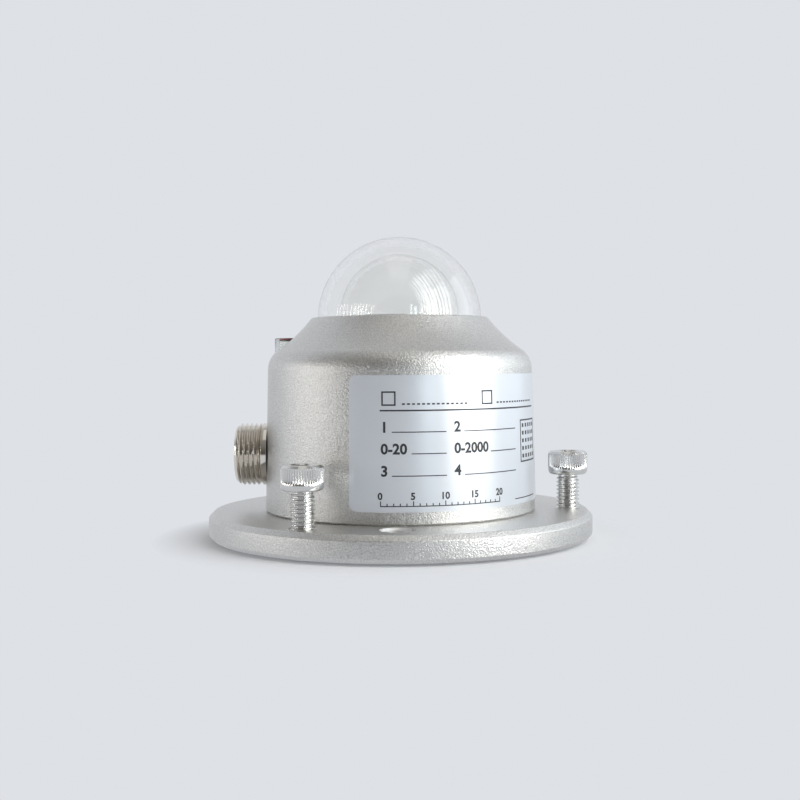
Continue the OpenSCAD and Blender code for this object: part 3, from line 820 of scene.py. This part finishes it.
@dataclass
class Domes(Assembly):
    """The two glass domes and their bedding rings."""

    outer_wall: float = 2.4
    inner_wall: float = 1.5
    soft_edge: float = 0.3
    steps: int = 64
    around: int = 256
    sharp: float = 40.0

    def dome(self, node: str, wall: float) -> bpy.types.Object:
        """Builds the dome that replaces a node."""
        low, high = self.corners(node)
        radius = high.x
        centre = high.z - radius
        outside = arc((0, centre), radius, 0, 90, self.steps)
        inside = arc((0, centre), radius - wall, 90, 0, self.steps)
        foot = [(radius - wall, low.z, self.soft_edge), (radius, low.z, self.soft_edge)]
        shape = rounded([*outside, *inside, *foot], closed=True)
        return turned(shape, Look.GLASS, self.around, closed=True).piece(node + "_glass", self.sharp)

    def build(self) -> None:
        """Builds both domes and dresses the rings."""
        for node, wall in (("outer_dome", self.outer_wall), ("inner_dome", self.inner_wall)):
            self.keep(self.dome(node, wall), node)
        self.dress(Look.SILICONE, "outer_dome_gasket", "inner_dome_gasket")


@dataclass
class CapScrew:
    """A socket head cap screw that points down, its tip at height 0."""

    thread_d: float
    pitch: float
    depth: float
    length: float
    head_d: float
    head_h: float
    socket_af: float
    socket_depth: float
    ribs: int = 48
    rib_depth: float = 0.24
    rib_rise: float = 0.8
    rib_fall: float = 0.5
    rib_reach: float = 0.6
    band: float = 1.5
    foot_round: float = 0.7
    bevel: float = 0.6
    lead_in: float = 0.3
    mouth_gap: float = 0.12
    mouth_sink: float = 0.05
    tip_bevel: float = 0.6
    neck_l: float = 0.3
    neck_sink: float = 0.2
    sharp: float = 40.0

    @property
    def rib_end(self) -> float:
        """The height above the head's foot where its ribs end."""
        return self.head_h - self.bevel * self.rib_reach

    def head_radius(self, height: float, share: float) -> float:
        """Returns the head's radius at a height above its foot and a share of the way round."""
        low = max(0.0, 1 - height / (2 * self.foot_round))
        radius = self.head_d / 2 - max(0.0, height - (self.head_h - self.bevel))
        radius -= self.foot_round * (1 - math.sqrt(1 - low * low))
        if self.band <= height <= self.rib_end:
            ripple = abs(2 * (share * self.ribs % 1.0) - 1)
            fade = (slope(self.band, self.band + self.rib_rise, height)
                    * slope(self.rib_end, self.head_h - self.bevel - self.rib_fall, height))
            radius -= self.rib_depth * ripple * fade
        return radius

    def head(self, look: Look) -> bpy.types.Object:
        """Builds the head with its ribs and its hexagon socket."""
        around, top = self.ribs * 6, self.head_h
        edge, fall = top - self.bevel, self.rib_fall
        heights = sorted({*(2 * self.foot_round * i / 8 for i in range(9)),
                          *(self.band + self.rib_rise * i / 4 for i in range(5)), top / 2,
                          edge - fall, edge - fall / 2, edge, self.rib_end, top - self.bevel / 3, top})
        rings = []
        for z in heights:
            spokes = [(self.head_radius(z, i / around), 2 * math.pi * i / around) for i in range(around)]
            rings.append([Vector((r * math.cos(a), r * math.sin(a), z)) for r, a in spokes])
        made = loft(rings, look).piece("screw_head", self.sharp)
        corner_r = hexagon_r(self.socket_af)
        mouth, drop = corner_r + self.mouth_gap, self.lead_in + self.mouth_sink
        low, high = top - drop, top + self.lead_in
        carve(made, turned([(0, low), (mouth - drop, low), (mouth + self.lead_in, high), (0, high)],
                           look, 64), self.sharp)
        hexagon = [corner[:2] for corner in arc((0, 0), corner_r, 0, 300, 5)]
        carve(made, raised(hexagon, top - self.socket_depth, top + 1, look), self.sharp)
        return made

    def shank(self, look: Look) -> Solid:
        """Builds the threaded shank, closed at both ends."""
        thread = Thread(self.thread_d / 2, self.depth, self.pitch, self.length - self.neck_l,
                        self.tip_bevel, self.pitch)
        top = self.length + self.neck_sink
        tip = turned([(0, 0), (thread.start, 0)], look, thread.around)
        neck = turned([(thread.root, thread.length), (thread.root, top), (0, top)], look, thread.around)
        return thread.solid(look) + tip + neck

    def build(self, name: str, place: Matrix, look: Look) -> bpy.types.Object:
        """Builds the screw at a place and returns it."""
        head = self.head(look)
        head.data.transform(Matrix.Translation((0, 0, self.length * MM)))
        screw = self.shank(look).piece(name, self.sharp)
        work = bmesh.new()
        work.from_mesh(screw.data)
        work.from_mesh(head.data)
        work.to_mesh(screw.data)
        work.free()
        bpy.data.objects.remove(head)
        scaled = place.copy()
        scaled.translation *= MM
        screw.data.transform(scaled)
        shade(screw, self.sharp)
        return screw


class Screws(Assembly):
    """The levelling screws, and the screws that are under the flange."""

    def build(self) -> None:
        """Builds every screw that shows, and dresses the others."""
        levelling = CapScrew(thread_d=6.0, pitch=1.0, depth=0.55, length=16.0, head_d=10.2, head_h=6.0,
                             socket_af=5.0, socket_depth=3.0)
        for side, turn in (("front", 14.0), ("right", 41.0), ("rear", 5.0)):
            node = "level_screw_" + side
            low, middle = self.corners(node)[0], self.middle(node)
            place = (Matrix.Translation((middle.x, middle.y, low.z))
                     @ Matrix.Rotation(math.radians(turn), 4, "Z"))
            screw = levelling.build("levelling_screw_" + side, place, Look.STEEL)
            self.keep(screw, node, body=side + "_screw")
        self.dress(Look.STEEL, "casing_screws", "holder_screws", "board_screws")


@dataclass
class Connector(Assembly):
    """The threaded signal connector on the left."""

    thread_r: float = 8.15
    depth: float = 0.8
    pitch: float = 1.25
    bevel: float = 1.3
    run_out: float = 0.5
    collar_l: float = 1.5
    barrel_r: float = 7.0
    mouth_r: float = 6.2
    mouth_depth: float = 6.5
    mouth_bevel: float = 0.25
    insulator_r: float = 5.6
    nose: Pair = (0.9, 0.5)
    play: float = 0.05
    pin_r: float = 0.75
    pin_tip: float = 0.6
    pin_circle_r: float = 3.6
    pin_angles: tuple[float, ...] = (90, 180, 270, 360)
    pin_collar: tuple[float, float, float] = (0.5, 0.3, 0.4)
    sharp: float = 35.0

    def place(self) -> Matrix:
        """Returns the move from a shape whose rim is at height 0 and that goes inwards as it goes up."""
        rim = (self.corners("connector_shell")[0].x, 0, self.middle("connector_shell").z)
        return Matrix.Translation(rim) @ Matrix.Rotation(math.pi / 2, 4, "Y")

    def span(self, node: str) -> Pair:
        """Returns how far in from the barrel's rim a node starts and ends."""
        low, high = self.corners(node)
        start = low.x - self.corners("connector_shell")[0].x
        return start, start + high.x - low.x

    def shell(self) -> Solid:
        """Builds the barrel: mouth, thread, collar and tail."""
        low, high = self.corners("connector_shell")
        length, collar = high.x - low.x, self.corners("connector_seal")[0].x - low.x
        thread = Thread(self.thread_r, self.depth, self.pitch, collar - self.collar_l, self.bevel,
                        self.run_out, flat=0.06, around=128, per_turn=16)
        inner_r = self.insulator_r + self.play
        rest = rounded([
            (thread.root, thread.length, 0), (self.thread_r, thread.length, 0.12),
            (self.thread_r, collar, 0.12), (self.barrel_r, collar, 0), (self.barrel_r, length, 0.2),
            (inner_r, length, 0.1), (inner_r, self.mouth_depth, 0), (self.mouth_r, self.mouth_depth, 0),
            (self.mouth_r, self.mouth_bevel, 0), (self.mouth_r + self.mouth_bevel, 0, 0),
            (thread.start, 0, 0)])
        return thread.solid(Look.NICKEL) + turned(rest, Look.NICKEL, thread.around)

    def insulator(self) -> Solid:
        """Builds the insulator, with a raised collar round each pin."""
        start, end = self.span("connector_insulator")
        nose_r, nose_end = self.insulator_r - self.nose[0], start + self.nose[1]
        body = turned(rounded([
            (0, start, 0), (nose_r, start, 0.2), (nose_r, nose_end, 0), (self.insulator_r, nose_end, 0.2),
            (self.insulator_r, end, 0.2), (0, end, 0)]), Look.INSULATOR)
        wider, front, back = self.pin_collar
        collar_r = self.pin_r + wider
        collar = turned(rounded([
            (0, start - front, 0), (collar_r, start - front, 0.15), (collar_r, start + back, 0),
            (0, start + back, 0)]), Look.INSULATOR, 32)
        return body + copies(collar, self.pin_angles, self.pin_circle_r)

    def pins(self) -> Solid:
        """Builds the four pins with round tips."""
        start, end = self.span("connector_pins")
        pin = rounded([(0, start, 0), (self.pin_r, start, self.pin_tip), (self.pin_r, end, 0.1), (0, end, 0)])
        return copies(turned(pin, Look.BRASS, 32), self.pin_angles, self.pin_circle_r)

    def build(self) -> None:
        """Builds the connector and dresses what is behind it."""
        for solid, name, node in (
                (self.shell(), "connector_barrel", "connector_shell"),
                (self.insulator(), "connector_insulator_body", "connector_insulator"),
                (self.pins(), "connector_pin_set", "connector_pins")):
            self.keep(solid.placed(self.place()).piece(name, self.sharp), node)
        self.dress(Look.RUBBER, "connector_seal")
        self.dress(Look.NICKEL, "connector_nut")
        self.dress(Look.CABLE_LEADS, "connector_wires")


@dataclass
class Level(Assembly):
    """The bubble level on the shoulder."""

    wall: float = 1.0
    floor: float = 1.6
    soft_edge: float = 0.35
    gap: float = 0.02
    dial_t: float = 0.1
    circle_r: float = 1.7
    circle_w: float = 0.25
    circle_t: float = 0.04
    bubble_r: float = 1.25
    bubble_h: float = 0.45
    bubble_drop: float = 0.1
    bubble_shift: tuple[float, float, float] = (0.35, -0.2, 0.0)
    bubble_steps: int = 24
    bubble_sharp: float = 60.0
    sharp: float = 35.0

    def build(self) -> None:
        """Builds the level's pieces and puts them on the frame."""
        low, high = self.corners("level_body")
        middle = self.middle("level_body")
        radius, height = high.x - middle.x, high.z - low.z
        inner_r, floor = radius - self.wall, self.floor
        place = Matrix.Translation((middle.x, middle.y, low.z))
        body = turned(rounded([
            (0, 0, 0), (radius, 0, 0.15), (radius, height, self.soft_edge), (inner_r, height, 0.1),
            (inner_r, floor, 0.2), (0, floor, 0)]), Look.ACRYLIC)
        self.keep(body.placed(place).piece("level_cup", self.sharp), "level_body")
        dial_r, dial_z = inner_r - self.dial_t, floor + self.gap
        dial = turned(rounded([
            (0, dial_z, 0), (dial_r, dial_z, 0), (dial_r, dial_z + self.dial_t, 0.04),
            (0, dial_z + self.dial_t, 0)]), Look.WHITE)
        self.keep(dial.placed(place).piece("level_dial", self.sharp))
        lid = self.corners("level_lens")[0].z - low.z
        top, wide_r = lid - self.gap, self.circle_r + self.circle_w
        circle = turned([(self.circle_r, top), (wide_r, top), (wide_r, top - self.circle_t),
                         (self.circle_r, top - self.circle_t)], Look.INK, 64, closed=True)
        self.keep(circle.placed(place).piece("level_circle", self.sharp))
        middle_z, steps = lid - self.bubble_drop - self.bubble_h, self.bubble_steps
        bubble = turned([(self.bubble_r * math.cos(a), middle_z + self.bubble_h * math.sin(a))
                         for a in (math.pi * (i / steps - 0.5) for i in range(steps + 1))], Look.AIR, 64)
        bubble_place = place @ Matrix.Translation(self.bubble_shift)
        self.keep(bubble.placed(bubble_place).piece("level_bubble", self.bubble_sharp))
        self.dress(Look.RED, "level_ring")
        self.dress(Look.ACRYLIC, "level_lens")
        self.dress(Look.FLUID, "level_liquid")


@dataclass
class Label(Assembly):
    """The sticker round the casing."""

    casing: Casing
    start: float = -19.0
    end: float = 101.0
    foot_h: float = 3.3
    head_h: float = 35.5
    corner: float = 2.0
    lift: float = 0.05
    thickness: float = 0.15
    ink: float = 0.03
    line: float = 0.36
    thin: float = 0.24
    margin: float = 7.6
    rule: Pair = (27.0, 57.6)
    box_h: float = 28.3
    box_side: float = 3.4
    boxes: tuple[tuple[float, int], ...] = ((8.0, 14), (33.4, 15))
    dot: Pair = (0.7, 1.2)
    dot_start: Pair = (1.5, 0.2)
    dot_bold: float = 1.6
    rows: tuple[tuple[float, tuple[str, str]], ...] = (
        (22.0, ("1", "2")), (16.9, ("0-20", "0-2000")), (11.7, ("3", "4")))
    columns: tuple[Pair, Pair] = ((7.8, 23.6), (25.6, 45.6))
    text_h: float = 2.4
    digit_w: float = 1.55
    digit_gap: float = 1.1
    digit_share: float = 0.7
    digit_bold: float = 0.045
    digit_rise: float = 0.1
    scale_h: float = 4.6
    scale_step: float = 1.55
    scale_text_h: float = 1.6
    scale_text_rise: float = 1.7
    scale_text_back: float = 0.55
    scale_end: int = 20
    scale_long: int = 5
    ticks: Pair = (0.8, 1.3)
    blank: Pair = (45.0, 57.4)
    code: tuple[float, float, float, float] = (48.2, 13.5, 58.8, 24.1)
    cell: Pair = (0.95, 1.9)
    cell_inset: float = 1.05
    cells: int = 5
    bend: float = 0.8
    sharp: float = 40.0

    def point(self, along: float, height: float, lift: float) -> Vector:
        """Returns the place of a point of the label.

        Args:
            along: Distance from the label's left edge, round the casing.
            height: Height above the flange.
            lift: Distance from the casing.

        Returns:
            The place in millimetres.
        """
        _, low, _, _ = self.casing.shape()
        radius = self.casing.wall_r(height) + lift
        angle = math.radians(self.start) + along / self.casing.wall_r(0)
        return Vector((radius * math.sin(angle), -radius * math.cos(angle), low + height))

    def sheet(self) -> Solid:
        """Returns the sticker with its rounded corners."""
        length = math.radians(self.end - self.start) * self.casing.wall_r(0)
        radius, steps = self.corner, 12
        corner = [radius * (1 - math.cos(math.pi / 2 * i / 8)) for i in range(9)]
        stations = corner + [radius + (length - 2 * radius) * i / 120 for i in range(1, 120)]
        stations += [length - c for c in reversed(corner)]
        edge = [(k / steps, self.lift) for k in range(steps + 1)]
        edge += [(share, self.lift + self.thickness) for share, _ in reversed(edge)]
        rings = []
        for s in stations:
            inset = radius - min(s, length - s, radius)
            trim = radius - math.sqrt(max(0.0, radius ** 2 - inset ** 2))
            low, high = self.foot_h + trim, self.head_h - trim
            rings.append([self.point(s, low + (high - low) * share, lift) for share, lift in edge])
        return loft(rings, Look.FOIL)

    def wrap(self, point: Vector) -> Vector:
        """Lays a point, as x along the label, y up it and z off it, on the sticker."""
        return self.point(point.x, point.y, self.lift + self.thickness + point.z)

    def bar(self, left: float, low: float, right: float, high: float) -> Solid:
        """Returns a printed bar."""
        steps = max(1, math.ceil((right - left) / self.bend))
        edges = ((low, 0), (high, 0), (high, self.ink), (low, self.ink))
        return loft([[self.wrap(Vector((left + (right - left) * i / steps, y, z))) for y, z in edges]
                     for i in range(steps + 1)], Look.INK)

    def frame_of(self, left: float, low: float, right: float, high: float) -> Solid:
        """Returns a printed rectangle."""
        line = self.line
        return (self.bar(left, low, right, low + line) + self.bar(left, high - line, right, high)
                + self.bar(left, low + line, left + line, high - line)
                + self.bar(right - line, low + line, right, high - line))

    def number(self, text: str, left: float, low: float, height: float) -> Solid:
        """Returns plain printed digits."""
        curve = bpy.data.curves.new("digits", "FONT")
        curve.body, curve.size, curve.extrude = text, height / self.digit_share, self.ink / 2
        curve.resolution_u, curve.offset = 3, self.digit_bold * height
        carrier = bpy.data.objects.new("digits", curve)
        bpy.context.scene.collection.objects.link(carrier)
        drawn = carrier.evaluated_get(bpy.context.evaluated_depsgraph_get())
        mesh = bpy.data.meshes.new_from_object(drawn)
        bpy.data.objects.remove(carrier)
        shift = Vector((left, low, self.ink / 2))
        faces = [tuple(face.vertices) for face in mesh.polygons]
        return Solid([self.wrap(v.co + shift) for v in mesh.vertices], faces, [Look.INK] * len(faces))

    def tick_boxes(self) -> Solid:
        """Returns two tick boxes, each with a dotted line, over a rule."""
        rule_h, rule_end = self.rule
        (dot_l, pitch), (gap, rise) = self.dot, self.dot_start
        ink = self.bar(self.margin, rule_h, rule_end, rule_h + self.line)
        for left, dots in self.boxes:
            ink += self.frame_of(left, self.box_h, left + self.box_side, self.box_h + self.box_side)
            for i in range(dots):
                dot, low = left + self.box_side + gap + pitch * i, self.box_h + rise
                ink += self.bar(dot, low, dot + dot_l, low + self.dot_bold * self.thin)
        return ink

    def fields(self) -> Solid:
        """Returns numbered lines to fill in."""
        ink = []
        for low, marks in self.rows:
            for (left, right), mark in zip(self.columns, marks):
                start = left + self.digit_gap + self.digit_w * len(mark)
                ink += [self.number(mark, left, low + self.digit_rise, self.text_h),
                        self.bar(start, low, right, low + self.thin)]
        return merged(ink)

    def scale(self) -> Solid:
        """Returns a numbered scale, with a blank line beside it."""
        base, thin, last = self.scale_h, self.thin, self.scale_end
        short, long = self.ticks
        ink = self.bar(self.margin, base, self.margin + last * self.scale_step + thin, base + thin)
        for i in range(last + 1):
            x, mark = self.margin + self.scale_step * i, str(i)
            ink += self.bar(x, base, x + thin, base + (short if i % self.scale_long else long))
            if i % self.scale_long == 0:
                ink += self.number(mark, x - self.scale_text_back * len(mark),
                                   base + self.scale_text_rise, self.scale_text_h)
        return ink + self.bar(self.blank[0], base, self.blank[1], base + thin)

    def blank_code(self) -> Solid:
        """Returns a frame with a plain grid of squares."""
        side, pitch = self.cell
        left, low = self.code[0] + self.cell_inset, self.code[1] + self.cell_inset
        ink = self.frame_of(*self.code)
        for column in range(self.cells):
            for row in range(self.cells):
                x, y = left + pitch * column, low + pitch * row
                ink += self.bar(x, y, x + side, y + side)
        return ink

    def build(self) -> None:
        """Builds the sticker and its print."""
        self.keep(self.sheet().piece("label_sheet", self.sharp), "label")
        ink = self.tick_boxes() + self.fields() + self.scale() + self.blank_code()
        self.keep(ink.piece("label_print", self.sharp))


class Sensor(Assembly):
    """What is inside: the thermopile on its holder, and the board."""

    def build(self) -> None:
        """Dresses the inner pieces."""
        for look, *nodes in (
                (Look.TURNED, "sensor_holder"), (Look.WINDING, "thermopile"), (Look.BLACK, "black_receiver"),
                (Look.WHITE, "sensor_mask", "sensor_header", "desiccant_capsule"),
                (Look.SENSOR_LEADS, "sensor_wires"), (Look.RUBBER, "casing_seal"),
                (Look.BOARD, "circuit_board"), (Look.BRASS, "board_spacers"),
                (Look.PARTS, "board_parts"), (Look.TERMINAL, "terminal_block")):
            self.dress(look, *nodes)


@dataclass(frozen=True)
class Softbox:
    """A soft lamp in upright strips, like a window with bars.

    Turn and rise are its direction in degrees, turn from -Y towards +X. Sizes are in metres.
    Glow is its brightness on average, where 1 is white, and share is how much of it is strips.
    """

    name: str
    turn: float
    rise: float
    wide: float
    tall: float
    glow: float
    colour: Colour
    strips: int = 1
    share: float = 1.0
    distance: float = 0.9


@dataclass
class Studio:
    """The floor, the lights and the camera."""

    backdrop: Colour = linear(222, 225, 230)
    camera_turn: float = 1.2
    camera_distance: float = 310.5
    camera_h: float = 45.95
    camera_dip: float = 1.91
    camera_roll: float = -0.0064
    lens: float = 53.08
    film_w: float = 36.0
    near: float = 0.01
    aim_h: float = 30.0
    fill: float = 0.45
    room: Colour = (0.05, 0.042, 0.035)
    ceiling: Colour = (0.30, 0.295, 0.285)
    floor_colour: Colour = (0.80, 0.81, 0.83)
    mirror_share: float = 0.88
    shadow_r: float = 50.0
    shadow_fade: float = 15.0
    side_blend: float = 0.3
    horizon: float = 0.75
    floor_size: float = 40.0
    floor_z: float = -0.00002
    softboxes: tuple[Softbox, ...] = (
        Softbox("window_low", 60.0, 6.0, 0.62, 0.36, 5.0, (1.0, 1.0, 0.97), strips=7, share=0.6),
        Softbox("window_mid", 60.0, 28.0, 0.62, 0.35, 3.6, (0.98, 1.0, 1.0), strips=7, share=0.6),
        Softbox("window_high", 60.0, 50.0, 0.62, 0.34, 2.2, (0.97, 0.99, 1.0), strips=7, share=0.6),
        Softbox("wing_front", 24.0, 6.0, 0.26, 0.34, 1.6, (0.84, 0.95, 1.0), share=0.16),
        Softbox("wing_back", 104.0, 16.0, 0.75, 0.70, 0.8, (0.86, 0.95, 1.0)),
        Softbox("skylight", 0.0, 80.0, 0.40, 0.80, 0.42, (1.0, 0.99, 0.97)),
        Softbox("side", -73.0, 7.0, 0.80, 0.32, 1.6, (1.0, 0.98, 0.94), strips=8, share=0.22),
    )

    def world(self) -> None:
        """Lights the scene from all round, and shows the backdrop to the camera and to mirrors."""
        world = bpy.data.worlds.new("studio")
        bpy.context.scene.world = world
        world.use_nodes = True
        graph = Graph(world.node_tree)
        way = graph.node("ShaderNodeTexCoord", output="Generated")
        _, depth, up = graph.axes(way)
        behind = graph.node("ShaderNodeValToRGB", {"stops": [
            (0.0, self.backdrop), (self.horizon, self.backdrop), (1.0, self.ceiling)]}, {0: up})
        before = graph.blend(up.held(), self.room, self.ceiling)
        share = ((self.side_blend - depth) / (2 * self.side_blend)).held()
        sky = graph.blend(share, behind, before)
        seen = (graph.ray("Camera") + graph.ray("Transmission")).held()
        lit = graph.blend(graph.ray("Glossy"), (self.fill, self.fill, self.fill), sky)
        colour = graph.blend(seen, lit, self.backdrop)
        graph.node("ShaderNodeOutputWorld", None, {
            "Surface": graph.node("ShaderNodeBackground", None, {"Color": colour, "Strength": 1.0})})

    def floor(self) -> None:
        """Lays the floor, which takes the object's shadow near it and is plain backdrop further off."""
        bpy.ops.mesh.primitive_plane_add(size=self.floor_size, location=(0, 0, self.floor_z))
        floor = bpy.context.object
        floor.name = "floor"
        made = bpy.data.materials.new("floor")
        made.use_nodes = True
        graph = Graph(made.node_tree)
        x, y, _ = graph.axes(graph.place_mm())
        reach = (x * x + y * y) ** 0.5
        mirrored = graph.ray("Glossy")
        far = ((reach - self.shadow_r) / self.shadow_fade + mirrored).held()
        lit = graph.node("ShaderNodeBsdfDiffuse", None, {"Color": (*self.floor_colour, 1.0)})
        dimmed = tuple(c * self.mirror_share for c in self.backdrop)
        plain = graph.node("ShaderNodeEmission", None, {
            "Color": graph.blend(mirrored, self.backdrop, dimmed), "Strength": 1.0})
        graph.node("ShaderNodeOutputMaterial", None, {
            "Surface": graph.node("ShaderNodeMixShader", None, {0: far, 1: lit, 2: plain})})
        floor.data.materials.append(made)

    def hang(self, box: Softbox) -> None:
        """Hangs the upright strips of a softbox side by side, facing the object."""
        side, up = math.radians(box.turn), math.radians(box.rise)
        way = Vector((math.sin(side) * math.cos(up), -math.cos(side) * math.cos(up), math.sin(up)))
        across = Vector((math.cos(side), math.sin(side), 0))
        pitch = box.wide / box.strips
        width = pitch * box.share
        for i in range(box.strips):
            data = bpy.data.lights.new(f"{box.name}_{i}", "AREA")
            data.shape, data.size, data.size_y = "RECTANGLE", width, box.tall
            data.energy, data.color = box.glow / box.share * math.pi * width * box.tall, box.colour
            strip = bpy.data.objects.new(data.name, data)
            bpy.context.scene.collection.objects.link(strip)
            offset = pitch * (i - (box.strips - 1) / 2)
            strip.location = way * box.distance + across * offset + Vector((0, 0, self.aim_h * MM))
            strip.rotation_euler = way.to_track_quat("Z", "Y").to_euler()
            strip.visible_camera = False

    def camera(self) -> None:
        """Puts the camera where the photograph was taken from."""
        data = bpy.data.cameras.new("camera")
        data.lens, data.sensor_width, data.clip_start = self.lens, self.film_w, self.near
        camera = bpy.data.objects.new("camera", data)
        bpy.context.scene.collection.objects.link(camera)
        turn, distance = math.radians(self.camera_turn), self.camera_distance
        dip = math.radians(90 - self.camera_dip)
        rotation = (Matrix.Rotation(turn, 4, "Z") @ Matrix.Rotation(dip, 4, "X")
                    @ Matrix.Rotation(self.camera_roll, 4, "Z"))
        place = Vector((math.sin(turn) * distance, -math.cos(turn) * distance, self.camera_h))
        camera.matrix_world = Matrix.Translation(place * MM) @ rotation
        bpy.context.scene.camera = camera

    def build(self) -> None:
        """Sets up the whole studio."""
        bpy.context.scene.view_settings.view_transform = "Standard"
        self.world()
        self.floor()
        for box in self.softboxes:
            self.hang(box)
        self.camera()


def main() -> None:
    """Builds the whole instrument in its studio."""
    logging.basicConfig(level=logging.INFO, format="%(message)s")
    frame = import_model()
    casing = Casing(frame)
    parts = [Flange(frame), casing, Domes(frame), Screws(frame), Connector(frame), Level(frame),
             Label(frame, casing), Sensor(frame), Studio()]
    for part in parts:
        part.build()


if __name__ == "__main__":
    main()
